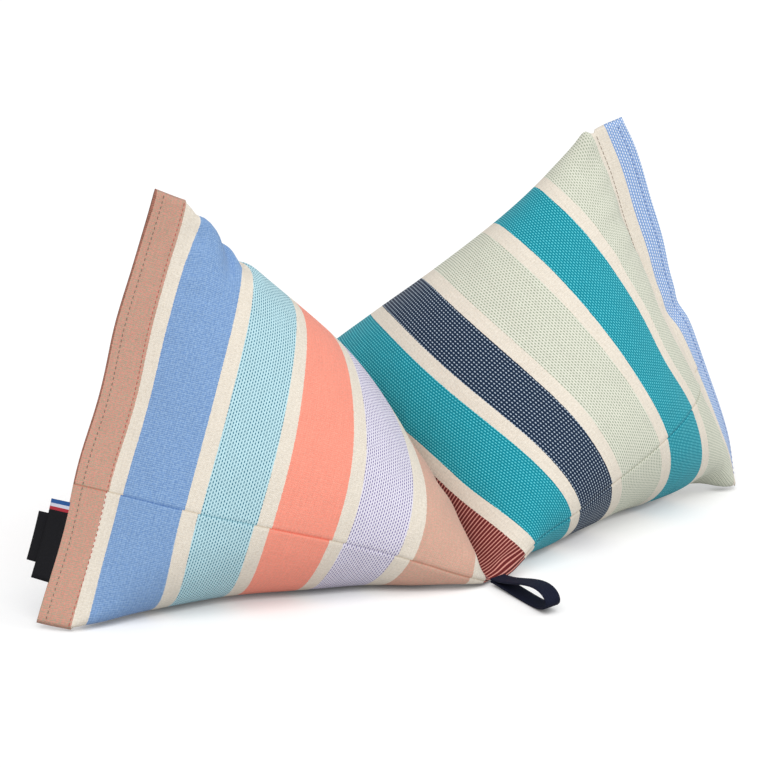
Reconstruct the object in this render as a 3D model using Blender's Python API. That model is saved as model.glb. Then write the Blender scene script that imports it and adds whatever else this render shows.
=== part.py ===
"""Cervical pillow: a striped cloth tube, pinched by a seam across its middle into two stuffed lobes.

Each lobe ends in a flat hem that stands across the middle seam, so a lobe is a rounded
four-cornered body: two corners on the middle seam and two on its own hem.
Metres, +Z up. The pillow lies on the plane z = 0, and the origin is under its middle.
+X runs from the left lobe to the right lobe, and -Y is the front.
"""

from collections import namedtuple

import bpy
import numpy as np

# Ends of the middle seam: the front one lies on the surface, the back one is raised
SEAM_FRONT = np.array((0.0030, -0.0780, 0.0015))
SEAM_BACK = np.array((0.0030, 0.1400, 0.0680))

# Lobes: hem corners, and how far stuffing draws the hem line in at its middle
Lobe = namedtuple("Lobe", "side top bottom draw_in")
LOBES = (
    Lobe(-1, np.array((-0.1390, 0.0170, 0.2240)), np.array((-0.2305, -0.0145, 0.0015)), 0.004),
    Lobe(1, np.array((0.1450, 0.0170, 0.2240)), np.array((0.2305, -0.0110, 0.0015)), 0.001),
)

# Swell of a lobe's sections, t = 0 at the middle seam and 1 at the hem
ALONG_SEAM = (1.5, 0.6)
ALONG_HEM = (1.1, 0.52)
SQUARENESS = 1.7
SEAM_TURN = 0.5
LEAN_RISE = 0.3

# Cloth thicknesses where two layers are sewn together
SEAM_HALF_THICKNESS = 0.0015
HEM_HALF_THICKNESS = 0.00125
CREASE_HALF_GAP = 0.0008

# Flat hem past the stuffing, and how far it turns towards the back along its length
HEM_WIDTH = 0.021
HemTurn = namedtuple("HemTurn", "place degrees")
HEM_TURNS = (HemTurn(0.0, -5.0), HemTurn(0.5, 22.0), HemTurn(1.0, 50.0))
HEM_STEPS = 2

# Mesh resolution
RINGS_PER_LOBE = 26
POINTS_AROUND = 56

# Gap between neighbouring pieces
CLEARANCE = 0.0003

# Tape loop caught in the front end of the middle seam
TAPE_WIDTH = 0.010
TAPE_THICKNESS = 0.0012
LOOP_REACH = 0.060
LOOP_HALF_OPENING = 0.0055
LOOP_DRIFT = 0.0060
LOOP_TILT = np.radians(6.0)
LOOP_ROOT = SEAM_FRONT + np.array((0.0022, -0.0012, 0.0022))
LOOP_LIFT = 0.0045
LOOP_TEAR = 2.2
LOOP_TEAR_PEAK = 0.636
LOOP_STEPS = 64

# Labels on the left hem's outer edge: where they start and end along the hem, top = 0
Label = namedtuple("Label", "name start end reach layer")
LABEL_THICKNESS = 0.0010
LABELS = (
    Label("woven_label", 0.732, 0.911, 0.0100, 1),
    Label("care_label", 0.766, 0.877, 0.0155, -1),
)
LABEL_STEPS = 8

# Material: base colour, roughness
FINISHES = {
    "pillow": ((0.70, 0.62, 0.55), 0.9),
    "carry_loop": ((0.015, 0.022, 0.055), 0.8),
    "woven_label": ((0.02, 0.02, 0.025), 0.7),
    "care_label": ((0.03, 0.03, 0.035), 0.6),
}


def unit(vector):
    return vector / np.linalg.norm(vector)


def clear_scene():
    for item in list(bpy.data.objects):
        bpy.data.objects.remove(item, do_unlink=True)


def make_material(name):
    colour, roughness = FINISHES[name]
    material = bpy.data.materials.new(name)
    material.use_nodes = True
    shader = material.node_tree.nodes["Principled BSDF"]
    shader.inputs["Base Color"].default_value = (*colour, 1.0)
    shader.inputs["Roughness"].default_value = roughness
    shader.inputs["Metallic"].default_value = 0.0
    return material


def make_object(name, points, faces):
    mesh = bpy.data.meshes.new(name)
    mesh.from_pydata([tuple(map(float, p)) for p in points], [], faces)
    mesh.validate()
    mesh.materials.append(make_material(name))
    mesh.shade_smooth()
    piece = bpy.data.objects.new(name, mesh)
    bpy.context.scene.collection.objects.link(piece)
    return piece


def swell(distance, power, roundness):
    """Half size of a section as a share of its sewn line, 1 at distance 0 and 0 at distance 1."""
    return (1.0 - distance ** power) ** roundness


def ring_angles():
    """Angles around a section: the first half runs up the front, the second down the back."""
    step = 2.0 * np.pi / POINTS_AROUND
    return -np.pi / 2 + (np.arange(POINTS_AROUND) + 0.5) * step


def lobe_axes(lobe):
    """Unit direction of the middle seam, towards the front, and of the hem, towards its top."""
    return unit(SEAM_FRONT - SEAM_BACK), unit(lobe.top - lobe.bottom)


def section(lobe, t):
    """One closed section of a lobe, from the middle seam (t = 0) to the hem (t = 1)."""
    seam, hem = lobe_axes(lobe)
    across = unit(hem - seam * (hem @ seam))
    skew = np.arctan2(hem @ across, hem @ seam) - np.pi / 2
    turn = SEAM_TURN * skew * t
    lean = np.array((t ** LEAN_RISE, 1.0, 1.0))
    seam_way = (np.cos(turn) * seam + np.sin(turn) * across) * lean
    hem_way = hem * lean
    half_seam = np.linalg.norm(SEAM_FRONT - SEAM_BACK) / 2 * swell(t, *ALONG_SEAM)
    half_hem = np.linalg.norm(lobe.top - lobe.bottom) / 2 * swell(1.0 - t, *ALONG_HEM)
    half_hem = max(half_hem, SEAM_HALF_THICKNESS)
    centre = (SEAM_FRONT + SEAM_BACK) / 2 * (1.0 - t) + (lobe.top + lobe.bottom) / 2 * t
    angles = ring_angles()
    power = 2.0 / SQUARENESS
    u = np.sign(np.cos(angles)) * np.abs(np.cos(angles)) ** power
    v = np.sign(np.sin(angles)) * np.abs(np.sin(angles)) ** power
    points = centre + half_seam * u[:, None] * seam_way + half_hem * v[:, None] * hem_way
    reach = lobe.side * (points[:, 0] - SEAM_FRONT[0])
    points[:, 0] = SEAM_FRONT[0] + lobe.side * np.maximum(reach, CREASE_HALF_GAP if t > 0 else 0.0)
    points[:, 2] = np.maximum(points[:, 2], 0.0)
    return points


def hem_frame(lobe, place):
    """Point on the hem line, the hem's outward way and its front-facing normal; place runs from the top."""
    seam, hem = lobe_axes(lobe)
    line = lobe.top * (1.0 - place) + lobe.bottom * place
    line = line - np.array((lobe.side * lobe.draw_in * 4.0 * place * (1.0 - place), 0.0, 0.0))
    straight = np.array((float(lobe.side), 0.0, 0.0))
    straight = unit(straight - hem * (straight @ hem))
    backward = np.cross(hem, straight) * lobe.side
    degrees = np.interp(place, [row.place for row in HEM_TURNS], [row.degrees for row in HEM_TURNS])
    turn = np.radians(degrees)
    outward = np.cos(turn) * straight + np.sin(turn) * backward
    normal = np.sin(turn) * straight - np.cos(turn) * backward
    return line, outward, normal


def hem_ring(lobe, reach):
    """The two flat layers of the hem at a distance from the stuffing."""
    angles = ring_angles()
    heights = np.sin(angles) / np.sin(angles).max()
    points = []
    for angle, height in zip(angles, heights):
        line, outward, normal = hem_frame(lobe, (1.0 - height) / 2)
        layer = HEM_HALF_THICKNESS * np.sign(np.cos(angle))
        point = line + reach * outward + layer * normal
        point[2] = max(point[2], 0.0)
        points.append(point)
    return np.array(points)


def lobe_rings(lobe):
    """Rings of one lobe from its hem's outer edge to the last one before the middle seam."""
    rings = [hem_ring(lobe, HEM_WIDTH * k / HEM_STEPS) for k in range(HEM_STEPS, -1, -1)]
    for k in range(RINGS_PER_LOBE - 1, 0, -1):
        rings.append(section(lobe, (1.0 - np.cos(np.pi * k / RINGS_PER_LOBE)) / 2))
    return rings


def middle_ring():
    """The pinched section at the middle seam, shared by both lobes."""
    return (section(LOBES[0], 0.0) + section(LOBES[1], 0.0)) / 2


def edge_cap(start, reverse):
    """Faces that close the outer edge of a hem, between its front and back layers."""
    half = POINTS_AROUND // 2
    faces = []
    for j in range(half - 1):
        face = (start + j, start + j + 1, start + POINTS_AROUND - 2 - j, start + POINTS_AROUND - 1 - j)
        faces.append(face[::-1] if reverse else face)
    return faces


def build_pillow():
    left, right = LOBES
    rings = lobe_rings(left) + [middle_ring()] + lobe_rings(right)[::-1]
    points = np.concatenate(rings)
    faces = []
    for i in range(len(rings) - 1):
        for j in range(POINTS_AROUND):
            k = (j + 1) % POINTS_AROUND
            here, there = i * POINTS_AROUND, (i + 1) * POINTS_AROUND
            faces.append((here + j, there + j, there + k, here + k))
    faces += edge_cap(0, False)
    faces += edge_cap((len(rings) - 1) * POINTS_AROUND, True)
    return make_object("pillow", points, faces)


def swept_strip(name, centres, widths, width, thickness):
    """A strip of rectangular section swept through its centres, closed flat at both ends."""
    centres = np.array(centres)
    tangents = np.gradient(centres, axis=0)
    corners = ((1, 1), (-1, 1), (-1, -1), (1, -1))
    points = []
    for centre, across, tangent in zip(centres, widths, tangents):
        along = unit(tangent)
        across = unit(across - along * (across @ along))
        through = np.cross(along, across)
        for a, b in corners:
            points.append(centre + a * width / 2 * across + b * thickness / 2 * through)
    faces = [(3, 2, 1, 0)]
    last = 4 * (len(centres) - 1)
    for i in range(0, last, 4):
        for j in range(4):
            k = (j + 1) % 4
            faces.append((i + j, i + k, i + 4 + k, i + 4 + j))
    faces.append((last, last + 1, last + 2, last + 3))
    return make_object(name, points, faces)


def loop_axes():
    """The tape's width direction and the direction in which the loop's two strands part."""
    across = np.array((np.cos(LOOP_TILT), 0.0, np.sin(LOOP_TILT)))
    through = np.array((-np.sin(LOOP_TILT), 0.0, np.cos(LOOP_TILT)))
    return across, through


def loop_point(phase):
    """Centre of the tape; phase runs once round the loop, out along the top and back underneath."""
    through = loop_axes()[1]
    along = np.sin(phase / 2) ** 2
    layer_gap = (TAPE_THICKNESS + CLEARANCE) / 2 * np.cos(phase / 2)
    opening = LOOP_HALF_OPENING * np.sin(phase) * np.sin(phase / 2) ** LOOP_TEAR / LOOP_TEAR_PEAK
    forward = np.array((0.0, -LOOP_REACH * along, 0.0))
    drift = np.array((-LOOP_DRIFT * along ** 1.5, 0.0, 0.0))
    lift = np.array((0.0, 0.0, LOOP_LIFT * along ** 2 * (3.0 - 2.0 * along)))
    return LOOP_ROOT + forward + drift + lift + (layer_gap + opening) * through


def build_loop():
    phases = np.linspace(0.0, 2.0 * np.pi, LOOP_STEPS + 1)
    centres = [loop_point(phase) for phase in phases]
    across = loop_axes()[0]
    return swept_strip("carry_loop", centres, [across] * len(centres), TAPE_WIDTH, TAPE_THICKNESS)


def build_label(label):
    offset = label.layer * (LABEL_THICKNESS + CLEARANCE) / 2
    centres, widths = [], []
    for place in np.linspace(label.start, label.end, LABEL_STEPS + 1):
        line, outward, normal = hem_frame(LOBES[0], place)
        centres.append(line + (HEM_WIDTH + CLEARANCE + label.reach / 2) * outward + offset * normal)
        widths.append(outward)
    return swept_strip(label.name, centres, widths, label.reach, LABEL_THICKNESS)


def main():
    clear_scene()
    build_pillow()
    build_loop()
    for label in LABELS:
        build_label(label)


main()
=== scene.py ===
# Looks of the cervical pillow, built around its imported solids.
# Metres, in the solids' own frame: +Z up, -Y the front, +X from the left lobe to the right one.

import math
from collections import namedtuple

import bpy
import numpy as np
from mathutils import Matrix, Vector


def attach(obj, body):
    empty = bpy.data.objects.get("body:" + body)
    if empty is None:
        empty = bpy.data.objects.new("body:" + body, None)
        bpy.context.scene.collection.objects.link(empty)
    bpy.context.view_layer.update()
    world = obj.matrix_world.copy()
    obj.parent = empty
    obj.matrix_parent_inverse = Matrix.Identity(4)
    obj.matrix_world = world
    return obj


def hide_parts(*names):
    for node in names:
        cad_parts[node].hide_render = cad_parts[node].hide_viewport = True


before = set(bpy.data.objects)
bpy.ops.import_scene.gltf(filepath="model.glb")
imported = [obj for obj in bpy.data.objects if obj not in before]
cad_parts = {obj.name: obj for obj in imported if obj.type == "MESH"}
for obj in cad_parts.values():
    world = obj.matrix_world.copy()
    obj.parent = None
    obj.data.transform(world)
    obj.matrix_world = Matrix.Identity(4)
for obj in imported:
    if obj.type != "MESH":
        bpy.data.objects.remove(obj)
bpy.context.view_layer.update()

BODY = "root"
MM = 0.001
TINY = 1e-12

# Corners, as in the solids: the middle seam's two ends, and the two of each lobe's hem line, with
# how far the stuffing draws that line in. A lobe's side is -1 for the left one, 1 for the right
SEAM_FRONT = np.array((0.003, -0.078, 0.0015))
SEAM_BACK = np.array((0.003, 0.14, 0.068))
Lobe = namedtuple("Lobe", "side top bottom draw_in")
LEFT = Lobe(-1, np.array((-0.139, 0.017, 0.224)), np.array((-0.2305, -0.0145, 0.0015)), 0.004)
RIGHT = Lobe(1, np.array((0.145, 0.017, 0.224)), np.array((0.2305, -0.011, 0.0015)), 0.001)

# Cloth tube before it is stuffed. A place round it is 0 at the lobe's top corner, 1 at its
# bottom corner, and 2 at the top corner again, with the front first
CLOTH_LENGTH = 0.464
CLOTH_ROUND = 0.492
LONG_SEAM = 0.68

# How far the long seam strays round each lobe, at places from the middle seam to the hem
STRAY_PLACES = (0, 0.2, 0.5, 0.78, 1)
SEAM_STRAYS = {-1: (0, -0.008, -0.002, 0.006, 0.008), 1: (0, 0.003, -0.003, -0.012, 0)}

# Cloth simulation: cells along the tube and round it, their places round it, steps, and length
# corrections in each step
GRID = 96
GRID_PLACES = np.arange(GRID) * 2 / GRID
STEPS = 260
ROUNDS = 6

# Stuffing: how hard it presses, how much harder on the floor, and up to what height
PRESSURE = 9e-5
PRESSURE_LOW = 1.0
LOBE_HEIGHT = 0.22

# Cloth: speed kept from step to step, and how firmly it resists shear, bending and squeezing
DAMPING = 0.96
SHEAR = 0.01
BEND = 0.3
SQUEEZE = 0.6

# How far the cloth stays clear of the floor, and of the other lobe at the middle seam
FLOOR_GAP = 0.0003
CREASE_GAP = 0.0006

# Sections that the simulation starts from: their points, how they narrow towards the middle seam
# and the hem, and how square they are half-way
START_POINTS = 961
START_TAPER = 0.75
START_SQUARENESS = 2.4

# Fine mesh: rings in each lobe, how much they crowd at both its ends, points round its front
# half, how far from the long seam its own columns lie, and how clear the others stay of them
RINGS = 110
RING_CROWDING = 0.55
HALF_COLUMNS = 104
SEAM_COLUMNS = np.array((-3.6, -2.2, -1.3, -0.7, 0.0, 0.7, 1.3, 2.2, 3.6)) * MM
COLUMN_CLEARANCE = 0.4

# Flat hem past the stuffing: its size, its mesh, how square its corners are, and how soon its
# thickness fades out on the stuffed cloth
HEM_WIDTH = 0.021
HEM_HALF_THICKNESS = 0.00125
HEM_STEPS = 14
HEM_EDGE_ANGLES = np.radians((30.0, 55.0, 75.0))
HEM_SQUARENESS = 60
HEM_FADE = 0.007

# How many degrees a hem turns towards the back, at places along it from its top corner
TURN_PLACES = (0.0, 0.5, 1.0)
HEM_TURNS = (-5.0, 22.0, 50.0)

# Long seam: a narrow groove between two slight swells, how far from the middle seam they set in,
# and how far round it the cloth slides with it where it strays
GROOVE_DEPTH = 0.0003
GROOVE_WIDTH = 0.0006
SWELL_HEIGHT = 0.0002
SWELL_PLACE = 0.0022
SWELL_WIDTH = 0.0014
RELIEF_START = 0.012
STRAY_SPREAD = 0.12

# Moves of the blown-up shape: where along the lobe (0 middle seam, 1 hem) and round it, how far
# each spreads both ways, and its mm. Those at 1 or more go through to the hem's back
Move = namedtuple("Move", "along round spread_along spread_round x y z")
LEFT_MOVES = (
    Move(0.9, 0, 0.2, 0.22, 0, 0, -4.5),  # ridge, flatter by the hem
    Move(0.92, 0.05, 0.038, 0.2, 0, 0, 2.4),  # ridge's end, rounded
    Move(0.858, 0.06, 0.018, 0.07, 0, 1, -7),  # ridge's notch
    Move(0.804, 0.05, 0.022, 0.06, 0, 0, -6),  # ridge past its notch
    Move(0.774, 0, 0.018, 0.08, 0, 0, -6),  # ridge further on
    Move(0.86, 0.95, 0.1, 0.1, 0, 0, 2),  # front, lifted by the hem
    Move(0.66, 0.93, 0.24, 0.13, 0, 3, 1.9),  # front, drawn in low down
    Move(0.3, 0.78, 0.14, 0.11, 0, 4, 1.6),  # front by the loop, tucked under
    Move(0.11, 0.48, 0.13, 0.18, 7, -1, 1),  # lobe, pressed on the right one
    Move(0.07, 0.61, 0.07, 0.045, 1.6, -3.6, 0),  # front by the loop, pressed out
    Move(1, 0, 0.1, 0.12, 3, 0, -3),  # hem's top corner
    Move(1.08, 0.32, 0.12, 0.11, -2.2, 0, 0),  # hem, bowed out high up
    Move(1.08, 0.64, 0.12, 0.11, -2.5, 0, 0),  # hem, bowed out low down
    Move(1.08, 1, 0.1, 0.13, -2.8, -1.5, -0.5),  # hem's bottom corner
)
RIGHT_MOVES = (
    Move(0.5, 0, 0.33, 0.3, 0, 0, 9),  # ridge, fuller
    Move(0.3, 0, 0.1, 0.2, 0, 0, 1.6),  # ridge's near end
    Move(0.975, 0, 0.035, 0.12, 0, 0, 3.4),  # ridge's far end, humped
    Move(0.045, 0.657, 0.045, 0.02, 0, 6, 0),  # front's fold at the loop
    Move(0.17, 0.7, 0.09, 0.1, 0, 4, 4.5),  # front by the loop, tucked under
    Move(0.32, 0.77, 0.15, 0.11, 0, 3, 2.3),  # front, drawn in past the loop
    Move(0.58, 0.88, 0.16, 0.14, 0, 3, 2.4),  # front, drawn in half-way
    Move(0.79, 0.93, 0.11, 0.12, 0, 2, 4.2),  # front, drawn in by the foot
    Move(0.87, 0.97, 0.07, 0.07, 0, 3, 7),  # foot, folded under
    Move(1, 0, 0.12, 0.1, -3.6, 0, 1.6),  # hem's top corner
    Move(1.06, 0.24, 0.12, 0.1, -1.6, 0, 0),  # hem, drawn in high up
    Move(1.09, 0, 0.04, 0.05, -1.5, 0, -1.2),  # hem's outer corner
    Move(1, 0.32, 0.045, 0.22, -5.4, 0, 0),  # hem's seam, drawn in
    Move(1.06, 0.45, 0.12, 0.1, -4.5, 0, 0),  # hem, drawn in half-way
    Move(1.06, 0.515, 0.12, 0.032, -2.6, 0, 0),  # hem's kink
    Move(1, 0.85, 0.16, 0.15, 3.2, 0, 0),  # hem, bowed out low down
    Move(1.08, 1, 0.1, 0.06, -8, -7, 0),  # hem's bottom corner
)

# How far from the middle seam the moves set in, and how far before the hem line they stop
MOVE_START = 0.1
MOVE_STOP = 0.035

# Cloth by the middle seam, pulled smooth round the tube: how far along it reaches, how far from
# the seam's two ends it starts, and how often it is smoothed
TAUT_ALONG = 0.16
TAUT_START = 0.1
TAUT_ROUNDS = 16

# How far the stripes step sideways where they meet at the long seam
SEAM_STEP = {-1: 0.0012, 1: 0.001}

# Pulls of the stuffing on the stripes, in mm: where along the cloth and round it each is
# strongest, how far it spreads both ways, and how far it shifts a stripe's edge
Pull = namedtuple("Pull", "along round spread_along spread_round shift")
PULLS = (
    Pull(-236, 0.66, 8, 0.14, -1),
    Pull(-233, 0.85, 8, 0.12, -1.2),
    Pull(-231, 0, 6, 0.08, -3),
    Pull(-210, 0, 30, 0.1, 4.5),
    Pull(-190, 0.34, 16, 0.22, -1.2),
    Pull(-181, 0, 10, 0.06, 9),
    Pull(-150, 0, 18, 0.17, 9),
    Pull(-145, 0.97, 55, 0.16, 7),
    Pull(-112, 0.25, 48, 0.22, -6.4),
    Pull(-22, 0.64, 12, 0.05, -4),
    Pull(28, 0.44, 15, 0.12, -2.2),
    Pull(30, 0.72, 14, 0.05, 2.5),
    Pull(95, 0.25, 32, 0.24, 0.8),
    Pull(105, 0.6, 38, 0.09, -1.2),
    Pull(120, 0.9, 95, 0.15, 4.5),
    Pull(168, 0.18, 36, 0.24, 5.9),
    Pull(188, 0.53, 30, 0.1, -6.2),
    Pull(197, 0.22, 10, 0.18, 3.5),
    Pull(232, 0.86, 10, 0.12, -6),
)

# Cloth gathered at the right hem, in mm: where along the cloth it starts, is strongest and ends,
# and how far it shifts a stripe's edge; and where round the cloth it sets in and fades out
GATHER_ALONG = (190.0, 204.0, 232.0)
GATHER_SHIFT = -24.0
GATHER_ROUND = (0.27, 0.38, 0.83, 1.0)

# Tape loop caught in the front end of the middle seam, as in the solids: the tape, then the loop's
# reach, how far it opens, how it drifts left as it goes out, its tilt, root and rise
TAPE_WIDTH = 0.01
TAPE_THICKNESS = 0.0012
TAPE_GAP = 0.0003
LOOP_REACH = 0.06
LOOP_HALF_OPENING = 0.0055
LOOP_DRIFT = 0.006
LOOP_DRIFT_POWER = 1.5
LOOP_TILT = math.radians(6.0)
LOOP_ROOT = SEAM_FRONT + np.array((0.0022, -0.0012, 0.0022))
LOOP_LIFT = 0.0045
LOOP_STEPS = 160

# Teardrop of the loop: how pointed it is at its root, and the widest that this makes it
LOOP_TEAR = 2.2
LOOP_TEAR_PEAK = 0.636

# Plain bands across the woven label's top: where each ends, and its colour
LABEL_BANDS = (
    (0.0058, (170, 50, 62)),
    (0.0040, (204, 206, 220)),
    (0.0022, (44, 86, 146)),
)

# Labels on the left hem's outer edge: where each starts and ends in shares of the hem, how far it
# sticks out, which of the two layers it is, its bands and its slot
Label = namedtuple("Label", "name start end reach layer bands slot")
LABELS = (
    Label("woven_label", 0.732, 0.911, 0.01, 1, LABEL_BANDS, "black_label"),
    Label("care_label", 0.766, 0.877, 0.0155, -1, (), "care_tape"),
)
LABEL_THICKNESS = 0.001
LABEL_GAP = 0.0003
LABEL_TUCK = 0.001
LABEL_STEPS = 16

# Camera: the photograph's direction and distance, and the point it looks at
AZIMUTH = math.radians(-34.31)
ELEVATION = math.radians(15.93)
DISTANCE = 2.4277
AIM = Vector((-0.0095, 0.012, 0.0977))
LENS = 200.0


def colour(red, green, blue):
    """Linear colour from the 0 to 255 values of a screen."""
    shares = np.array((red, green, blue)) / 255.0
    linear = np.where(shares <= 0.04045, shares / 12.92, ((shares + 0.055) / 1.055) ** 2.4)
    return (*map(float, linear), 1.0)


def unit(vector):
    """The vector at a length of 1."""
    return vector / np.linalg.norm(vector)


def run_along(points):
    """Distance of each point along a line of points."""
    return np.concatenate([[0.0], np.cumsum(np.linalg.norm(np.diff(points, axis=0), axis=1))])


def smooth(low, high, value):
    """0 below low, 1 above high, smooth between."""
    share = np.clip((value - low) / (high - low), 0.0, 1.0)
    return share * share * (3.0 - 2.0 * share)


# Simulation of the stuffed tube

def start_ring(lobe, share):
    """A rough section of a lobe: a flat line on the middle seam at share 0, on the hem at share 1."""
    seam_way = unit(SEAM_FRONT - SEAM_BACK)
    hem_way = unit(lobe.top - lobe.bottom)
    centre = (SEAM_FRONT + SEAM_BACK) / 2 * (1 - share) + (lobe.top + lobe.bottom) / 2 * share
    half_seam = np.linalg.norm(SEAM_FRONT - SEAM_BACK) / 2 * (1 - share) ** START_TAPER
    half_hem = CLOTH_ROUND / 4 * share ** START_TAPER
    angles = -np.linspace(0.0, 2.0 * np.pi, START_POINTS)
    power = 2.0 / (2.0 + START_SQUARENESS * share * (1 - share))
    along = half_seam * np.sign(np.cos(angles)) * np.abs(np.cos(angles)) ** power
    across = half_hem * np.sign(np.sin(angles)) * np.abs(np.sin(angles)) ** power
    outline = centre + along[:, None] * seam_way + across[:, None] * hem_way
    run = run_along(outline)
    # The outline starts at the long seam's place on the middle seam, and half-way down the hem
    wanted = ((GRID_PLACES - LONG_SEAM - share * (0.5 - LONG_SEAM)) / 2) % 1.0 * run[-1]
    return np.stack([np.interp(wanted, run, outline[:, axis]) for axis in range(3)], 1)


def folded(places):
    """Place along a flattened ring, 0 to 1, of each place round the tube."""
    return np.where(places % 2.0 <= 1.0, places % 2.0, 2.0 - places % 2.0)


def hem_line(lobe, share):
    """Points on the line where a lobe's stuffing ends, from its top corner to its bottom one."""
    share = np.asarray(share, float)[..., None]
    bow = lobe.side * lobe.draw_in * 4.0 * share * (1.0 - share)
    return lobe.top * (1.0 - share) + lobe.bottom * share - bow * np.array((1.0, 0.0, 0.0))


def start_grid():
    """The tube's rings from the left hem to the right one, before it is blown up."""
    middle = GRID // 2
    rings = []
    for index in range(GRID + 1):
        share = abs(index - middle) / middle
        rings.append(start_ring(LEFT if index < middle else RIGHT, share))
    grid = np.array(rings)
    grid[0] = hem_line(LEFT, folded(GRID_PLACES))
    grid[-1] = hem_line(RIGHT, folded(GRID_PLACES))
    across = folded(GRID_PLACES - LONG_SEAM)[:, None]
    grid[middle] = SEAM_FRONT * (1 - across) + SEAM_BACK * across
    return grid


def tighten(a, b, weight_a, weight_b, rest, strength, squeeze=1.0):
    """Brings two rows of points towards their resting distance, in place."""
    apart = b - a
    length = np.sqrt((apart * apart).sum(-1, keepdims=True)) + TINY
    error = (length - rest) / length
    total = weight_a + weight_b
    apart *= np.where(error > 0, strength, strength * squeeze) * error / np.where(total == 0, 1, total)
    a += apart * weight_a
    b -= apart * weight_b


def blow_up(grid):
    """Cloth simulation: pressure from inside, and threads and diagonals that keep their lengths."""
    middle = GRID // 2
    step_along = CLOTH_LENGTH / GRID
    step_round = CLOTH_ROUND / GRID
    diagonal = math.hypot(step_along, step_round)
    held = {index: grid[index].copy() for index in (0, middle, GRID)}
    weight = np.ones((GRID + 1, 1, 1))
    weight[list(held)] = 0.0
    left_limit = SEAM_FRONT[0] - CREASE_GAP
    right_limit = SEAM_FRONT[0] + CREASE_GAP
    now, before = grid.copy(), grid.copy()
    for _ in range(STEPS):
        along = np.zeros_like(now)
        along[1:-1] = now[2:] - now[:-2]
        around = np.roll(now, -1, 1) - np.roll(now, 1, 1)
        push = np.cross(around, along) / (4.0 * step_along * step_round)
        depth = (LOBE_HEIGHT - now[..., 2:3]) / LOBE_HEIGHT
        speed = (now - before) * DAMPING
        before = now.copy()
        now = now + (speed + push * PRESSURE * (1.0 + PRESSURE_LOW * depth)) * (weight > 0)
        for _ in range(ROUNDS):
            now = hold_threads(now, weight, step_along, step_round, diagonal)
            now[..., 2] = np.maximum(now[..., 2], FLOOR_GAP)
            now[1:middle, :, 0] = np.minimum(now[1:middle, :, 0], left_limit)
            now[middle + 1:-1, :, 0] = np.maximum(now[middle + 1:-1, :, 0], right_limit)
            for index, ring in held.items():
                now[index] = ring
    return now


def hold_threads(now, weight, step_along, step_round, diagonal):
    """One round of length corrections: cells' sides, their diagonals, and two cells in a row."""
    for first in (0, 1):
        a, b = now[first:-1:2], now[first + 1::2]
        tighten(a, b, weight[first:-1:2], weight[first + 1::2], step_along, 1.0, SQUEEZE)
    for _ in (0, 1):
        tighten(now[:, 0::2], now[:, 1::2], weight, weight, step_round, 1.0, SQUEEZE)
        now = np.roll(now, -1, 1)
    now = np.roll(now, 2, 1)
    for first in (0, 1):
        a, b = now[first:-1:2], now[first + 1::2]
        for shift in (-1, 1):
            slid = np.roll(b, shift, 1)
            tighten(a, slid, weight[first:-1:2], weight[first + 1::2], diagonal, SHEAR)
            b[...] = np.roll(slid, -shift, 1)
    for first in (0, 1, 2, 3):
        a, b = now[first:-2:4], now[first + 2::4]
        tighten(a, b, weight[first:-2:4], weight[first + 2::4], 2 * step_along, BEND)
    for shift in (0, 2):
        now = np.roll(now, -shift, 1)
        for first in (0, 1):
            tighten(now[:, first::4], now[:, first + 2::4], weight, weight, 2 * step_round, BEND)
        now = np.roll(now, shift, 1)
    return now


# Fine mesh of the pillow

def spline_weights(share):
    """Weights of four neighbours in a uniform cubic B-spline."""
    rest = 1.0 - share
    return (
        rest ** 3 / 6.0,
        (3.0 * share ** 3 - 6.0 * share ** 2 + 4.0) / 6.0,
        (3.0 * rest ** 3 - 6.0 * rest ** 2 + 4.0) / 6.0,
        share ** 3 / 6.0,
    )


def resample_rows(rows, places):
    """Rows at fractional places on a smooth curve that starts and ends on the end rows."""
    padded = np.concatenate([2 * rows[:1] - rows[1:2], rows, 2 * rows[-1:] - rows[-2:-1]])
    whole = np.clip(np.floor(places).astype(int), 0, len(rows) - 2)
    share = (places - whole)[:, None, None]
    return sum(w * padded[whole + k] for k, w in enumerate(spline_weights(share)))


def resample_round(grid, places):
    """Points at fractional places round each ring; places has one row for each ring."""
    whole = np.floor(places).astype(int)
    share = (places - whole)[..., None]
    ring = np.arange(len(grid))[:, None]
    count = grid.shape[1]
    return sum(w * grid[ring, (whole - 1 + k) % count] for k, w in enumerate(spline_weights(share)))


def pulled_taut(lobe_grid):
    """A lobe's rings, middle seam last, without the small wrinkles near that seam."""
    along = 1.0 - np.arange(len(lobe_grid)) / (GRID // 2)
    from_ends = np.abs((GRID_PLACES - LONG_SEAM + 0.5) % 1.0 - 0.5)
    share = np.outer(np.exp(-(along / TAUT_ALONG) ** 4), smooth(0.0, TAUT_START, from_ends))[..., None]
    ironed = lobe_grid.copy()
    for _ in range(TAUT_ROUNDS):
        ironed = ironed / 2 + (np.roll(ironed, 1, 1) + np.roll(ironed, -1, 1)) / 4
    return lobe_grid * (1.0 - share) + ironed * share


def column_places():
    """Places round the tube, from the long seam on, crowded at the seam and alike front and back."""
    seam = LONG_SEAM + SEAM_COLUMNS * 2.0 / CLOTH_ROUND
    even = np.arange(HALF_COLUMNS + 1) / HALF_COLUMNS
    clearance = COLUMN_CLEARANCE / HALF_COLUMNS
    clear = even[(even < seam[0] - clearance) | (even > seam[-1] + clearance)]
    front = np.sort(np.concatenate([clear, seam]))
    whole = np.concatenate([front, 2.0 - front[-2:0:-1]])
    start = int(np.argmin(np.abs(whole - LONG_SEAM)))
    return np.concatenate([whole[start:], whole[:start] + 2.0])


def ring_places():
    """Places along a lobe from its hem to the middle seam, crowded towards both."""
    share = np.arange(RINGS + 1) / RINGS
    eased = (1.0 - np.cos(np.pi * share)) / 2.0
    return (share * (1.0 - RING_CROWDING) + eased * RING_CROWDING) * (GRID // 2)


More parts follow.
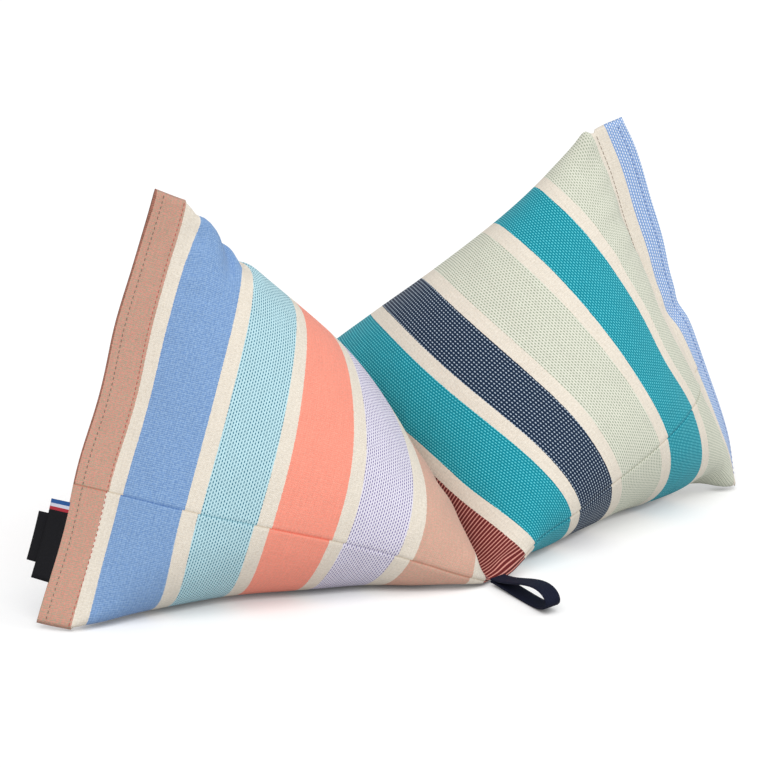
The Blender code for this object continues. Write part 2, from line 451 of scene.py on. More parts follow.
def grid_normals(grid):
    """Unit normals of a grid of rings."""
    along = np.gradient(grid, axis=0)
    around = np.roll(grid, -1, 1) - np.roll(grid, 1, 1)
    normals = np.cross(around, along)
    return normals / (np.linalg.norm(normals, axis=-1, keepdims=True) + TINY)


def hem_frame(lobe, share):
    """Points on the hem line, the hem's outward way and its front-facing normal."""
    hem = unit(lobe.top - lobe.bottom)
    straight = np.array((float(lobe.side), 0.0, 0.0))
    straight = unit(straight - hem * (straight @ hem))
    backward = np.cross(hem, straight) * lobe.side
    turn = np.radians(np.interp(share, TURN_PLACES, HEM_TURNS))[..., None]
    outward = np.cos(turn) * straight + np.sin(turn) * backward
    normal = np.sin(turn) * straight - np.cos(turn) * backward
    return hem_line(lobe, share), outward, normal


def hem_layer(places):
    """+1 on the hem's front layer and -1 on its back one, rounded off at its two corners."""
    share = folded(places)
    corner = 1.0 - np.abs(2.0 * share - 1.0) ** HEM_SQUARENESS
    return np.where(places % 2.0 <= 1.0, 1.0, -1.0) * np.sqrt(np.maximum(corner, 0.0))


def straying(lobe, along, places):
    """Places round a lobe's rings, slid as far as the long seam strays."""
    stray = np.interp(along, STRAY_PLACES, SEAM_STRAYS[lobe.side])
    return places + np.outer(stray, np.exp(-(ring_distance(places, LONG_SEAM) / STRAY_SPREAD) ** 2))


def ring_distance(places, centre):
    """Distance round the tube from a place, in half rounds."""
    turns = (places - centre) / 2.0
    return 2.0 * (turns - np.round(turns))


def moved(lobe, along, places, points):
    """The points of a lobe's rings after its moves; along is 1 at the hem line and more past it."""
    start = smooth(0.0, MOVE_START, along)[:, None]
    stop = smooth(0.0, MOVE_STOP, 1.0 - along)[:, None]
    for move in LEFT_MOVES if lobe.side < 0 else RIGHT_MOVES:
        here = np.exp(-((along - move.along) / move.spread_along) ** 2)[:, None] * start
        share = np.exp(-(ring_distance(places, move.round) / move.spread_round) ** 2)
        if move.along < 1.0:
            share = share * stop
        else:
            behind = np.exp(-(ring_distance(places, -move.round) / move.spread_round) ** 2)
            share = np.maximum(share, behind)
        points = points + (here * share)[..., None] * np.array((move.x, move.y, move.z)) * MM
    return points


def hem_points(lobe, places, reaches, lifts):
    """Points of the hem: a row for each reach from the hem line, lifted off its middle plane."""
    line, outward, normal = hem_frame(lobe, folded(places))
    reach = np.asarray(reaches)[:, None, None]
    points = line + reach * outward + np.asarray(lifts)[..., None] * normal
    along = 1.0 + np.asarray(reaches) / (CLOTH_LENGTH / 2)
    return moved(lobe, along, np.tile(places, (len(along), 1)), points)


def hem_rings(lobe, places):
    """The hem's rings, outer edge first, and how far each is from the stuffing."""
    places = straying(lobe, np.ones(1), places)[0]
    edge = HEM_WIDTH - HEM_HALF_THICKNESS
    flat = np.linspace(0.0, edge, HEM_STEPS + 1)[1:]
    rounded = edge + HEM_HALF_THICKNESS * np.sin(HEM_EDGE_ANGLES)
    reaches = np.concatenate([flat, rounded])[::-1]
    past = np.maximum(reaches - edge, 0.0) / HEM_HALF_THICKNESS
    lifts = np.outer(np.sqrt(1.0 - past * past), hem_layer(places) * HEM_HALF_THICKNESS)
    return hem_points(lobe, places, reaches, lifts), reaches


def lobe_surface(lobe, grid, places):
    """Rings of one lobe from its hem line to the middle seam, and how far along it they are."""
    rows = ring_places()
    fine = resample_rows(grid, rows)
    along = 1.0 - rows / (GRID // 2)
    slid = straying(lobe, along, places)
    fine = resample_round(fine, slid * GRID / 2)
    fine = moved(lobe, along, slid, fine)
    reach = lobe.side * (fine[1:-1, :, 0] - SEAM_FRONT[0])
    fine[1:-1, :, 0] = SEAM_FRONT[0] + lobe.side * np.maximum(reach, CREASE_GAP)
    normals = grid_normals(fine) * -lobe.side
    from_middle = (along * CLOTH_LENGTH / 2)[:, None]
    offset = seam_relief(places)[None, :] * smooth(0.0, RELIEF_START, from_middle)
    fine = fine + offset[..., None] * normals
    _, _, normal = hem_frame(lobe, folded(slid[0]))
    layer = hem_layer(slid[0])[:, None] * HEM_HALF_THICKNESS * normal
    fade = np.exp((from_middle - CLOTH_LENGTH / 2) / HEM_FADE)[..., None]
    return fine + fade * layer, along


def seam_relief(places):
    """Height of the cloth beside the long seam."""
    away = np.abs(ring_distance(places, LONG_SEAM)) * CLOTH_ROUND / 2
    groove = -GROOVE_DEPTH * np.exp(-(away / GROOVE_WIDTH) ** 2)
    return groove + SWELL_HEIGHT * np.exp(-((away - SWELL_PLACE) / SWELL_WIDTH) ** 2)


def lobe_rings(lobe, grid, places):
    """A lobe's rings from its hem's edge to the middle seam, and how far along the cloth each is."""
    hem, reaches = hem_rings(lobe, places)
    body, along = lobe_surface(lobe, pulled_taut(grid), places)
    from_middle = np.concatenate([reaches + CLOTH_LENGTH / 2, along * CLOTH_LENGTH / 2])
    return np.concatenate([hem, body]), lobe.side * from_middle


def build_pillow():
    """The stuffed cover as one closed mesh."""
    shape = blow_up(start_grid())
    middle = GRID // 2
    places = column_places()
    left, left_along = lobe_rings(LEFT, shape[:middle + 1], places)
    right, right_along = lobe_rings(RIGHT, shape[:middle - 1:-1], places)
    points = np.concatenate([left, right[-2::-1]])
    points[..., 2] = np.maximum(points[..., 2], 0.0)
    faces, maps = cover_faces(np.concatenate([left_along, right_along[-2::-1]]), places)
    return mesh_piece("pillow_cover", points.reshape(-1, 3), faces, maps)


def cover_faces(along, places):
    """Faces of the cover, and UV maps of its cloth and of where its stripes lie."""
    count = len(places)
    unrolled = np.concatenate([places, [LONG_SEAM + 2.0]])
    around = unrolled * CLOTH_ROUND / 2
    step = np.where(along < 0, SEAM_STEP[-1], SEAM_STEP[1])
    turned = 1.0 - (unrolled - LONG_SEAM) / 2.0
    across = along[:, None] + step[:, None] * turned - stripe_drift(along, unrolled)
    faces, cloth, stripes = [], [], []
    for i in range(len(along) - 1):
        for j in range(count):
            k = (j + 1) % count
            faces.append((i * count + j, (i + 1) * count + j, (i + 1) * count + k, i * count + k))
            for row, column in ((i, j), (i + 1, j), (i + 1, j + 1), (i, j + 1)):
                cloth.append((along[row], around[column]))
                stripes.append((across[row, column], around[column]))
    for ring, reverse in ((0, True), (len(along) - 1, False)):
        for cap in edge_cap(places, ring * count):
            faces.append(cap[::-1] if reverse else cap)
            cloth += [(along[ring], 0.0)] * len(cap)
            stripes += [(along[ring], 0.0)] * len(cap)
    return faces, {"cloth": cloth, "stripes": stripes}


def stripe_drift(along, places):
    """How far the stripes lie off their straight run, in metres, on a grid of points."""
    drift = np.zeros((len(along), len(places)))
    for pull in PULLS:
        here = np.exp(-((along / MM - pull.along) / pull.spread_along) ** 2)
        here = here * (np.sign(along) == np.sign(pull.along))
        share = np.exp(-(ring_distance(places, pull.round) / pull.spread_round) ** 2)
        drift += pull.shift * MM * np.outer(here, share)
    set_in, full, fading, gone = GATHER_ROUND
    share = smooth(set_in, full, places % 2.0) * (1.0 - smooth(fading, gone, places % 2.0))
    return drift + GATHER_SHIFT * MM * np.outer(np.interp(along / MM, GATHER_ALONG, (0, 1, 0)), share)


def edge_cap(places, start):
    """Faces that join the hem's two layers along its outer edge."""
    order = np.argsort(places % 2.0)
    count = len(order)
    caps = []
    for j in range(count // 2):
        ring = (order[j], order[j + 1], order[(count - 1 - j) % count], order[(count - j) % count])
        caps.append(tuple(dict.fromkeys(start + int(index) for index in ring)))
    return caps


def mesh_piece(name, points, faces, maps):
    """A smooth-shaded object of these points and faces, with its UV maps by name."""
    mesh = bpy.data.meshes.new(name)
    mesh.from_pydata([tuple(map(float, p)) for p in points], [], faces)
    for title, places in maps.items():
        layer = mesh.uv_layers.new(name=title)
        layer.uv.foreach_set("vector", np.asarray(places, np.float32).ravel())
    mesh.shade_smooth()
    mesh.update()
    piece = bpy.data.objects.new(name, mesh)
    bpy.context.scene.collection.objects.link(piece)
    return piece


# Materials

class Nodes:
    """Short ways of adding nodes to a material."""

    def __init__(self, name, roughness, sheen=0.0, specular=0.3):
        self.material = bpy.data.materials.new(name)
        self.material.use_nodes = True
        self.tree = self.material.node_tree
        self.shader = self.tree.nodes["Principled BSDF"]
        self.shader.inputs["Roughness"].default_value = roughness
        self.shader.inputs["Specular IOR Level"].default_value = specular
        self.shader.inputs["Sheen Weight"].default_value = sheen

    def put(self, socket, value):
        """Links another node's output to a socket, or sets the socket's own value."""
        if isinstance(value, bpy.types.NodeSocket):
            self.tree.links.new(value, socket)
        else:
            socket.default_value = value

    def new(self, kind, inputs=None, **settings):
        """A new node with these settings, and with its inputs linked or set."""
        node = self.tree.nodes.new("ShaderNode" + kind)
        for name, value in settings.items():
            setattr(node, name, value)
        for socket, value in (inputs or {}).items():
            self.put(node.inputs[socket], value)
        return node

    def math(self, operation, *values):
        return self.new("Math", dict(enumerate(values)), operation=operation).outputs[0]

    def times(self, *values):
        return self.chain("MULTIPLY", values)

    def sum(self, *values):
        return self.chain("ADD", values)

    def chain(self, operation, values):
        """The values joined from the first to the last."""
        result = values[0]
        for value in values[1:]:
            result = self.math(operation, result, value)
        return result

    def wave(self, value, pitch):
        """Cosine of a length, 1 at each pitch."""
        return self.math("COSINE", self.times(value, 2.0 * math.pi / pitch))

    def ramp(self, value, low, high):
        """0 below low, 1 above high, smooth between."""
        limits = {"Value": value, "From Min": low, "From Max": high}
        return self.new("MapRange", limits, interpolation_type="SMOOTHSTEP").outputs["Result"]

    def span(self, value, low, high):
        """A value of 0 to 1 spread from low to high."""
        limits = {"Value": value, "To Min": low, "To Max": high}
        return self.new("MapRange", limits).outputs["Result"]

    def mix(self, factor, a, b, blend="MIX"):
        """Colour a at a factor of 0, and b blended over it at 1."""
        sides = {0: factor, 6: a, 7: b}
        return self.new("Mix", sides, data_type="RGBA", blend_type=blend).outputs[2]

    def place_on(self, title):
        """Distance along the cloth and round it, in metres, on one of its UV maps."""
        place = self.new("UVMap", uv_map=title).outputs["UV"]
        return self.new("SeparateXYZ", {0: place}).outputs[:2]

    def noise(self, along, around, grain):
        """Noise of 0 to 1, with the grain's count of grains a metre both ways."""
        ways = {0: self.times(along, grain.along), 1: self.times(around, grain.around)}
        place = self.new("CombineXYZ", ways).outputs[0]
        return self.new("TexNoise", {"Vector": place, "Scale": 1.0}).outputs["Fac"]

    def paint(self, tone):
        """Gives the material its colour."""
        self.put(self.shader.inputs["Base Color"], tone)

    def bump(self, height, distance, strength):
        """Adds relief on top of the relief added before."""
        inputs = {"Height": height, "Distance": distance, "Strength": strength}
        socket = self.shader.inputs["Normal"]
        if socket.is_linked:
            inputs["Normal"] = socket.links[0].from_socket
        self.put(socket, self.new("Bump", inputs).outputs["Normal"])


# Weave, in metres: threads along the cloth and round it, dots both ways, rows and lines
WARP_PITCH = 0.00141
WEFT_PITCH = 0.0011
DOT_ALONG = 0.0028
DOT_ROUND = 0.0021
ROW_ALONG = 0.00173
LINE_ROUND = 0.0023

# Noises, in grains a metre along the cloth and round it
Grain = namedtuple("Grain", "along around")
STRIPE_EDGES = Grain(900.0, 900.0)
FLECKS = Grain(640.0, 950.0)
WARP_YARN = Grain(1400.0, 60.0)
WEFT_YARN = Grain(60.0, 1800.0)
GRIT = Grain(820.0, 900.0)
RUMPLES = Grain(38.0, 30.0)

# How far the stripes' edges wander, in metres, and how much the noises and threads change a tone
EDGE_STRAY = 0.0004
WARP_TONE = 0.1
WEFT_TONE = 0.07
GRIT_TONE = 0.16
THREAD_TONE = 0.02

# Woven figures: how much each wave counts in its figure, and between which sums of them the
# figure turns from the first thread to the second
DIAMOND_SHARE = 0.5
COLUMN_SHARE = 0.85
ROW_SHARE = 2.0
LINE_WARP = 0.06
FLECK_WARP = 0.24
FLECK_WEFT = 0.6
FLECK_NOISE = 2.3
DOT_RANGE = (0.15, 0.9)
ROW_RANGE = (0.9, 2.7)
LINE_RANGE = (0.25, 0.9)
FLECK_RANGE = (-0.9, 1.1)

# Relief of the rumples and of the weave: its height in metres and its strength; and how much the
# threads and the figures count in the weave's
RUMPLE_RELIEF = (0.004, 0.5)
WEAVE_RELIEF = (0.00012, 0.6)
THREAD_RELIEF = 0.6
FIGURE_RELIEF = 0.5

# Stripe cloths: first thread, second thread, and the figure that they are woven in
Cloth = namedtuple("Cloth", "first second figure")
CLOTHS = {
    # Painted shade: "edge" darkens the left hem's outermost edge as if in the shadow of its fold
    "edge": Cloth((176, 118, 102), (132, 92, 76), "flecks"),
    "cream": Cloth((231, 223, 210), (222, 212, 196), "flecks"),
    "terracotta": Cloth((216, 150, 134), (172, 159, 136), "flecks"),
    "blue": Cloth((113, 148, 197), (145, 176, 213), "flecks"),
    "turquoise": Cloth((187, 222, 230), (50, 112, 134), "dots"),
    "coral": Cloth((249, 149, 128), (238, 156, 136), "flecks"),
    "lavender": Cloth((226, 223, 236), (104, 92, 150), "dots"),
    "pink": Cloth((219, 165, 148), (198, 171, 149), "flecks"),
    "red": Cloth((106, 38, 38), (216, 150, 138), "lines"),
    "teal": Cloth((0, 132, 150), (96, 204, 216), "dots"),
    "navy": Cloth((18, 39, 65), (182, 196, 208), "rows"),
    "sage": Cloth((219, 220, 205), (146, 157, 134), "dots"),
    "sky": Cloth((130, 164, 214), (236, 241, 248), "dots"),
}

# Stripes from the left hem's edge to the right one: where each starts, in mm from the middle seam
STRIPES = (
    # Painted shade on the left hem's outermost edge
    (-300, "edge"),
    (-252, "terracotta"),
    (-232.6, "cream"),
    (-225.1, "blue"),
    (-190.8, "cream"),
    (-182.4, "turquoise"),
    (-152.3, "cream"),
    (-143.8, "coral"),
    (-108.2, "cream"),
    (-99.5, "lavender"),
    (-67.1, "cream"),
    (-57.9, "pink"),
    (-18.3, "cream"),
    (-6, "red"),
    (24.5, "cream"),
    (33, "teal"),
    (64.5, "cream"),
    (72.3, "navy"),
    (99, "cream"),
    (107, "sage"),
    (140.3, "cream"),
    (148.5, "teal"),
    (180, "cream"),
    (188, "sage"),
    (229, "cream"),
    (240, "sky"),
)


def striped_canvas():
    """Cotton canvas in stripes, each with its own threads and woven figure."""
    nodes = Nodes("striped_canvas", roughness=0.9, sheen=0.1, specular=0.15)
    along, around = nodes.place_on("cloth")
    across_stripes, _ = nodes.place_on("stripes")
    stray = nodes.span(nodes.noise(along, around, STRIPE_EDGES), -EDGE_STRAY, EDGE_STRAY)
    first, second, figures = stripe_threads(nodes, nodes.sum(across_stripes, stray))
    warp = nodes.wave(along, WARP_PITCH)
    weft = nodes.wave(around, WEFT_PITCH)
    share = second_share(nodes, along, around, warp, weft, figures)
    woven = nodes.mix(share, first, second)

    warp_yarn = nodes.noise(along, around, WARP_YARN)
    weft_yarn = nodes.noise(along, around, WEFT_YARN)
    grit = nodes.noise(along, around, GRIT)
    tone = nodes.sum(
        nodes.span(warp_yarn, -WARP_TONE, WARP_TONE),
        nodes.span(weft_yarn, -WEFT_TONE, WEFT_TONE),
        nodes.span(grit, -GRIT_TONE, GRIT_TONE),
        nodes.times(nodes.sum(warp, weft), THREAD_TONE),
        1.0,
    )
    woven = nodes.mix(1.0, woven, tone, "MULTIPLY")
    # Painted shade in the long seam's groove: the colour darkened towards itself squared
    woven = nodes.mix(painted_seam_shade(nodes, around), woven, nodes.mix(1.0, woven, woven, "MULTIPLY"))
    nodes.paint(woven)

    nodes.bump(nodes.noise(along, around, RUMPLES), *RUMPLE_RELIEF)
    raised = nodes.sum(nodes.times(warp, weft, THREAD_RELIEF), nodes.times(share, FIGURE_RELIEF))
    nodes.bump(nodes.sum(raised, nodes.sum(warp_yarn, weft_yarn)), *WEAVE_RELIEF)
    return nodes.material


def cloth_threads(cloth):
    """Both thread colours of a cloth, and its shares of dots, rows and lines."""
    shares = (float(cloth.figure == figure) for figure in ("dots", "rows", "lines"))
    return colour(*cloth.first), colour(*cloth.second), (*shares, 1.0)


def stripe_threads(nodes, place):
    """The threads and figures of the stripe at a place across the stripes."""
    (_, outermost), *others = STRIPES
    found = cloth_threads(CLOTHS[outermost])
    for start, title in others:
        past = nodes.math("GREATER_THAN", place, start * MM)
        pairs = zip(found, cloth_threads(CLOTHS[title]))
        found = [nodes.mix(past, before, after) for before, after in pairs]
    return found


def second_share(nodes, along, around, warp, weft, figures):
    """Share of the second thread: in dots, rows or lines, or else in flecks."""
    dots, rows, lines = nodes.new("SeparateXYZ", {0: figures}).outputs
    flecks = nodes.math("SUBTRACT", 1.0, nodes.sum(dots, rows, lines))
    across = nodes.wave(around, DOT_ROUND)
    diamond = nodes.times(nodes.wave(along, DOT_ALONG), across, DIAMOND_SHARE)
    column = nodes.times(nodes.wave(along, DOT_ALONG / 2), COLUMN_SHARE)
    row = nodes.sum(nodes.times(nodes.wave(along, ROW_ALONG), ROW_SHARE), across)
    line = nodes.sum(nodes.wave(around, LINE_ROUND), nodes.times(warp, LINE_WARP))
    grain = nodes.sum(nodes.times(weft, FLECK_WEFT), nodes.times(warp, FLECK_WARP))
    fleck = nodes.span(nodes.noise(along, around, FLECKS), -FLECK_NOISE, FLECK_NOISE)
    return nodes.sum(
        nodes.times(dots, nodes.ramp(nodes.sum(diamond, column), *DOT_RANGE)),
        nodes.times(rows, nodes.ramp(row, *ROW_RANGE)),
        nodes.times(lines, nodes.ramp(line, *LINE_RANGE)),
        nodes.times(flecks, nodes.ramp(nodes.sum(grain, fleck), *FLECK_RANGE)),
    )


# Painted shade along the long seam's groove: how far from it the cloth's colour starts and ends fading
# back, and how deep the painted shade is there
PAINTED_SEAM_SHADE = (0.0001, 0.0008)
PAINTED_SEAM_SHADE_DEPTH = 0.6


def painted_seam_shade(nodes, around):
    """How much darker the painted shade makes a cloth's colour along the long seam's groove, 0
    elsewhere.
    """
    turns = nodes.math("SUBTRACT", around, LONG_SEAM * CLOTH_ROUND / 2)
    turns = nodes.math("DIVIDE", turns, CLOTH_ROUND)
    nearest = nodes.math("SUBTRACT", turns, nodes.math("ROUND", turns))
    away = nodes.times(nodes.math("ABSOLUTE", nearest), CLOTH_ROUND)
    return nodes.span(nodes.ramp(away, *PAINTED_SEAM_SHADE), PAINTED_SEAM_SHADE_DEPTH, 0.0)


# Tape: its slanting twill and its ribs, in metres, how much the ribs count, between which sums it
# gets lighter, its noise, its darkest and lightest shade, and its relief
TWILL_PITCH = 0.0011
RIB_PITCH = 0.0009
RIB_SHARE = 0.5
TWILL_RANGE = (-0.8, 1.2)
TAPE_GRAIN = Grain(500.0, 900.0)
TAPE_SHADES = ((11, 16, 36), (26, 34, 62))
TAPE_RELIEF = (0.0002, 0.7)


def tape_cloth():
    """Navy twill tape."""
    nodes = Nodes("navy_tape", roughness=0.8, specular=0.2)
    along, across = nodes.place_on("cloth")
    slant = nodes.wave(nodes.sum(along, across), TWILL_PITCH)
    rib = nodes.times(nodes.wave(across, RIB_PITCH), RIB_SHARE)
    twill = nodes.ramp(nodes.sum(slant, rib), *TWILL_RANGE)
    light = nodes.times(twill, nodes.noise(along, across, TAPE_GRAIN))
    tone = nodes.mix(light, *(colour(*shade) for shade in TAPE_SHADES))
    nodes.paint(tone)
    nodes.bump(twill, *TAPE_RELIEF)
    return nodes.material


# Labels: their threads both ways, in metres, their noise, their shades and their relief
LABEL_PITCHES = (0.0006, 0.0005)
LABEL_GRAIN = Grain(1500.0, 1500.0)
LABEL_SHADES = ((12, 12, 15), (30, 30, 34))
LABEL_RELIEF = (0.0001, 0.6)


def label_cloth(label):
    """Black satin label, bare but for the front one's bands."""
    nodes = Nodes(label.name + "_cloth", roughness=0.7, specular=0.15)
    along, across = nodes.place_on("cloth")
    grain = nodes.noise(along, across, LABEL_GRAIN)
    tone = nodes.mix(grain, *(colour(*shade) for shade in LABEL_SHADES))
    for end, shade in label.bands:
        tone = nodes.mix(nodes.math("LESS_THAN", along, end), tone, colour(*shade))
    nodes.paint(tone)
    pitch_along, pitch_across = LABEL_PITCHES
    threads = nodes.times(nodes.wave(along, pitch_along), nodes.wave(across, pitch_across))
    nodes.bump(threads, *LABEL_RELIEF)
    return nodes.material


# Sewing thread: grains a metre, how much lighter than its shade it gets, and its relief
THREAD_GRAIN = 3000.0
THREAD_LIGHTER = 30
THREAD_BUMP = (0.0001, 0.5)


def thread_material(name, shade):
    """Sewing thread of one shade, a little uneven."""
    nodes = Nodes(name, roughness=0.75, sheen=0.1)
    place = nodes.new("TexCoord").outputs["Object"]
    uneven = nodes.new("TexNoise", {"Vector": place, "Scale": THREAD_GRAIN}).outputs["Fac"]
    lighter = colour(*(value + THREAD_LIGHTER for value in shade))
    nodes.paint(nodes.mix(uneven, colour(*shade), lighter))
    nodes.bump(uneven, *THREAD_BUMP)
    return nodes.material


# Rows of stitches on the hems: how far past the hem line each lies, where along the hem it starts
# and ends, and its stitches' length, radius and shade
Row = namedtuple("Row", "name lobe reach start end length radius shade")
STITCH_ROWS = (
    Row("left_topstitch", LEFT, 0.0157, 0.012, 0.985, 0.0019, 0.00022, (104, 92, 80)),
    Row("left_hem_stitch", LEFT, 0.0026, 0.012, 0.99, 0.0019, 0.00022, (168, 74, 64)),
    Row("right_topstitch", RIGHT, 0.0157, 0.022, 0.985, 0.0019, 0.00020, (84, 104, 158)),
    # Stitches and painted shade: run together and darkened in the hem line's crease to stand in for
    # its shade
    Row("right_hem_stitch_and_shade", RIGHT, 0.0004, 0.022, 0.55, 0.0029, 0.00016, (112, 92, 76)),
)
STITCH_PITCH = 0.003

# A stitch: its sides, how far its middle is lifted off the cloth in radii, and its rings, each with
# its place along it, its width, and its dip in radii
STITCH_SIDES = 6
STITCH_LIFT = 0.3
STITCH_RINGS = ((-0.5, 0.35, -0.8), (-0.3, 1.0, 0.0), (0.3, 1.0, 0.0), (0.5, 0.35, -0.8))


def build_stitches(row):
    """One row of stitches, alike on the hem's front and back layers."""
    lobe = row.lobe
    count = int((row.end - row.start) * np.linalg.norm(lobe.top - lobe.bottom) / STITCH_PITCH)
    shares = np.linspace(row.start, row.end, count)
    _, _, normal = hem_frame(lobe, shares)
    way = unit(lobe.bottom - lobe.top)
    points, faces = [], []
    for layer in (1.0, -1.0):
        lift = np.full((1, count), layer * (HEM_HALF_THICKNESS + STITCH_LIFT * row.radius))
        centres = hem_points(lobe, layer * shares, [row.reach], lift)[0]
        for centre, up in zip(centres, normal * layer):
            add_stitch(points, faces, centre, way, up, row)
    return mesh_piece(row.name, points, faces, {})


def add_stitch(points, faces, centre, way, up, row):
    """A short thread with rounded ends that dips into the cloth at both."""
    side = np.cross(way, up)
    base = len(points)
    for place, size, dip in STITCH_RINGS:
        for k in range(STITCH_SIDES):
            angle = 2.0 * math.pi * k / STITCH_SIDES
            spoke = math.cos(angle) * side + math.sin(angle) * up
            points.append(centre + place * row.length * way + row.radius * (size * spoke + dip * up))
    for i in range(len(STITCH_RINGS) - 1):
        for k in range(STITCH_SIDES):
            m = (k + 1) % STITCH_SIDES
            here, there = base + i * STITCH_SIDES, base + (i + 1) * STITCH_SIDES
            faces.append((here + k, there + k, there + m, here + m))
    faces.append(tuple(base + k for k in range(STITCH_SIDES)))
    last = base + (len(STITCH_RINGS) - 1) * STITCH_SIDES
    faces.append(tuple(last + k for k in reversed(range(STITCH_SIDES))))


# Strips of the tape loop and labels: angles of their round edges, and steps of their flat sides
EDGE_ANGLES = (0, 45, 90, 135, 180)
FLAT_STEPS = 6


def rounded_section(width, thickness):
    """Outline of a flat strip with round edges: across, through."""
    half, radius = width / 2 - thickness / 2, thickness / 2
    outline = []
    for centre, first in ((half, -90), (-half, 90)):
        for angle in EDGE_ANGLES:
            turn = math.radians(first + angle)
            outline.append((centre + radius * math.cos(turn), radius * math.sin(turn)))
        flat = np.linspace(centre, -centre, FLAT_STEPS + 1)[1:-1]
        side = radius if first < 0 else -radius
        outline += [(float(place), side) for place in flat]
    return outline


def swept_strip(name, centres, ways, width, thickness):
    """A strip with round edges, swept through its centres and closed at both ends."""
    centres = np.array(centres)
    tangents = np.gradient(centres, axis=0)
    run = run_along(centres)
    section = rounded_section(width, thickness)
    count = len(section)
    points = []
    for centre, way, tangent in zip(centres, ways, tangents):
        tangent = unit(tangent)
        way = unit(way - tangent * (way @ tangent))
        through = np.cross(tangent, way)
        points += [centre + a * way + b * through for a, b in section]
    faces = [tuple(reversed(range(count)))]
    maps = [(0.0, section[k][0]) for k in reversed(range(count))]
    for i in range(len(centres) - 1):
        for j in range(count):
            k = (j + 1) % count
            here, there = i * count, (i + 1) * count
            faces.append((here + j, here + k, there + k, there + j))
            maps += [(run[i], section[j][0]), (run[i], section[k][0])]
            maps += [(run[i + 1], section[k][0]), (run[i + 1], section[j][0])]
    last = (len(centres) - 1) * count
    faces.append(tuple(last + k for k in range(count)))
    maps += [(run[-1], section[k][0]) for k in range(count)]
    return mesh_piece(name, points, faces, {"cloth": maps}), run[-1]


def loop_point(phase):
    """Centre of the tape; phase runs once round the loop, out along the top and back underneath."""
    through = np.array((-math.sin(LOOP_TILT), 0.0, math.cos(LOOP_TILT)))
    along = math.sin(phase / 2) ** 2
    layer_gap = (TAPE_THICKNESS + TAPE_GAP) / 2 * math.cos(phase / 2)
    opening = LOOP_HALF_OPENING * math.sin(phase) * math.sin(phase / 2) ** LOOP_TEAR / LOOP_TEAR_PEAK
    forward = np.array((-LOOP_DRIFT * along ** LOOP_DRIFT_POWER, -LOOP_REACH * along, 0.0))
    lift = np.array((0.0, 0.0, LOOP_LIFT * along ** 2 * (3.0 - 2.0 * along)))
    return LOOP_ROOT + forward + lift + (layer_gap + opening) * through


def build_loop():
    """The tape loop and its flat length."""
    centres = [loop_point(phase) for phase in np.linspace(0.0, 2.0 * math.pi, LOOP_STEPS + 1)]
    across = np.array((math.cos(LOOP_TILT), 0.0, math.sin(LOOP_TILT)))
    return swept_strip("tape_loop", centres, [across] * len(centres), TAPE_WIDTH, TAPE_THICKNESS)


def build_label(label):
    """A label that sticks out of the hem, with its flat length and width."""
    offset = label.layer * (LABEL_THICKNESS + LABEL_GAP) / 2
    shares = np.linspace(label.start, label.end, LABEL_STEPS + 1)
    _, outward, _ = hem_frame(LEFT, shares)
    width = label.reach + LABEL_TUCK
    reach = HEM_WIDTH - LABEL_TUCK + width / 2
    centres = hem_points(LEFT, shares, [reach], np.full((1, len(shares)), offset))[0]
    piece, length = swept_strip(label.name + "_cloth", centres, outward, width, LABEL_THICKNESS)
    return piece, length, width


# Set, lights and camera

# Studio's glow on the pillow, which is 1 in view; the floor's size, shade and glow in view; and how
# near the pillow that glow dims into a painted contact shadow, from how many samples
STUDIO_GLOW = 0.52
FLOOR_SIZE = 12.0
FLOOR_SHADE = 0.68
FLOOR_GLOW = 0.375
CONTACT_SHADE_REACH = 0.004
CONTACT_SHADE_SAMPLES = 4

# Soft key light: the way to it, its strength and its width
KEY_WAY = Vector((-1.1, -1.5, 2.2))
KEY_STRENGTH = 1.75
KEY_WIDTH = math.radians(55.0)

# Fill light: its place, what it points at, its size and its power
FILL_PLACE = Vector((1.8, -1.2, 1.4))
FILL_AIM = Vector((0.0, 0.0, 0.1))
FILL_SIZE = 1.6
FILL_POWER = 14.0


def seen_directly(tree):
    """1 for what the camera sees directly, 0 for light on its way round the studio."""
    return tree.nodes.new("ShaderNodeLightPath").outputs["Is Camera Ray"]


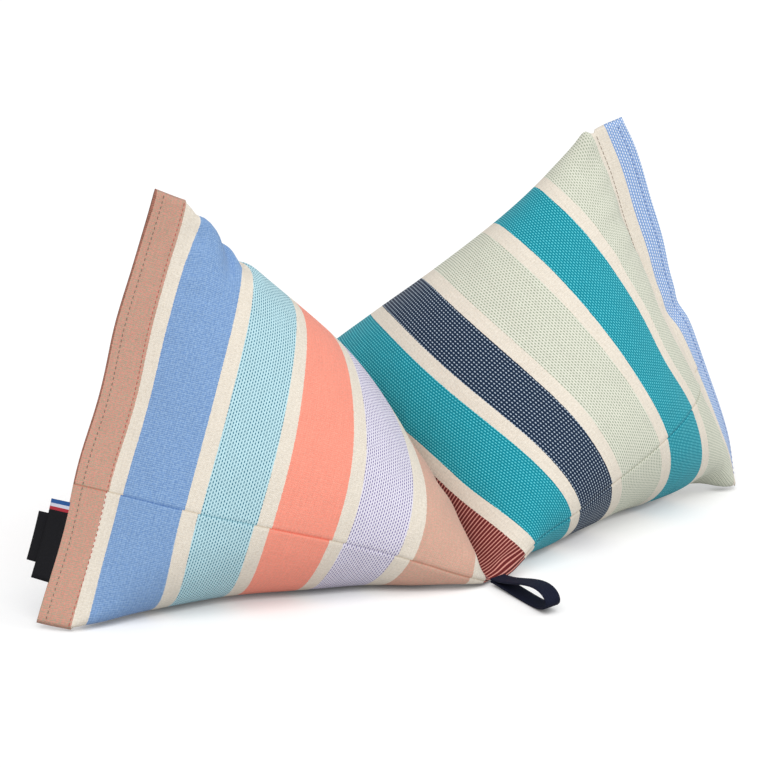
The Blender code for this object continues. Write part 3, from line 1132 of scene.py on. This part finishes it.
def build_set():
    """A pale floor and a white studio whose glow on the pillow is softer than its own look; the
    floor's glow in view dims near the pillow as a painted contact shadow.
    """
    bpy.ops.mesh.primitive_plane_add(size=FLOOR_SIZE, location=(0.0, 0.0, 0.0))
    floor = bpy.context.object
    floor.name = "floor"
    nodes = Nodes("pale_floor", roughness=0.9, specular=0.0)
    nodes.paint((FLOOR_SHADE, FLOOR_SHADE, FLOOR_SHADE, 1.0))
    nodes.shader.inputs["Emission Color"].default_value = (1.0, 1.0, 1.0, 1.0)
    # Painted contact shadow: the floor's glow in view fades by ambient occlusion near the pillow
    contact_shade = nodes.new("AmbientOcclusion", {"Distance": CONTACT_SHADE_REACH}, samples=CONTACT_SHADE_SAMPLES)
    glow = nodes.times(seen_directly(nodes.tree), FLOOR_GLOW, contact_shade.outputs["AO"])
    nodes.put(nodes.shader.inputs["Emission Strength"], glow)
    floor.data.materials.append(nodes.material)
    world = bpy.data.worlds.new("studio")
    world.use_nodes = True
    back = world.node_tree.nodes["Background"]
    back.inputs["Color"].default_value = (1.0, 1.0, 1.0, 1.0)
    strength = world.node_tree.nodes.new("ShaderNodeMapRange")
    strength.inputs["To Min"].default_value = STUDIO_GLOW
    strength.inputs["To Max"].default_value = 1.0
    world.node_tree.links.new(seen_directly(world.node_tree), strength.inputs["Value"])
    world.node_tree.links.new(strength.outputs["Result"], back.inputs["Strength"])
    bpy.context.scene.world = world
    bpy.context.scene.view_settings.view_transform = "Standard"


def key_light():
    """A wide sun from the front left."""
    light = bpy.data.lights.new("key", "SUN")
    light.energy = KEY_STRENGTH
    light.angle = KEY_WIDTH
    placed(light, Vector(), KEY_WAY)


def fill_light():
    """A weak lamp from the front right."""
    light = bpy.data.lights.new("fill", "AREA")
    light.size = FILL_SIZE
    light.energy = FILL_POWER
    placed(light, FILL_PLACE, FILL_PLACE - FILL_AIM)


def placed(data, place, way):
    """A light or camera at its place; the way leads back to it from what it faces."""
    holder = bpy.data.objects.new(data.name, data)
    holder.location = place
    holder.rotation_euler = way.to_track_quat("Z", "Y").to_euler()
    bpy.context.scene.collection.objects.link(holder)
    return holder


def build_camera():
    """The camera, at the photograph's direction and distance."""
    back = Vector((
        math.sin(AZIMUTH) * math.cos(ELEVATION),
        -math.cos(AZIMUTH) * math.cos(ELEVATION),
        math.sin(ELEVATION),
    ))
    data = bpy.data.cameras.new("camera")
    data.lens = LENS
    bpy.context.scene.camera = placed(data, AIM + back * DISTANCE, back)


def main():
    """Dresses every solid."""
    build_camera()
    build_set()
    key_light()
    fill_light()

    cover = build_pillow()
    cover.data.materials.append(striped_canvas())
    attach(cover, BODY)
    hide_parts("pillow")

    for row in STITCH_ROWS:
        stitches = build_stitches(row)
        stitches.data.materials.append(thread_material(row.name + "_thread", row.shade))
        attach(stitches, BODY)

    loop, length = build_loop()
    loop.data.materials.append(tape_cloth())
    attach(loop, BODY)
    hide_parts("carry_loop")

    for label in LABELS:
        piece, length, width = build_label(label)
        piece.data.materials.append(label_cloth(label))
        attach(piece, BODY)
        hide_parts(label.name)


main()
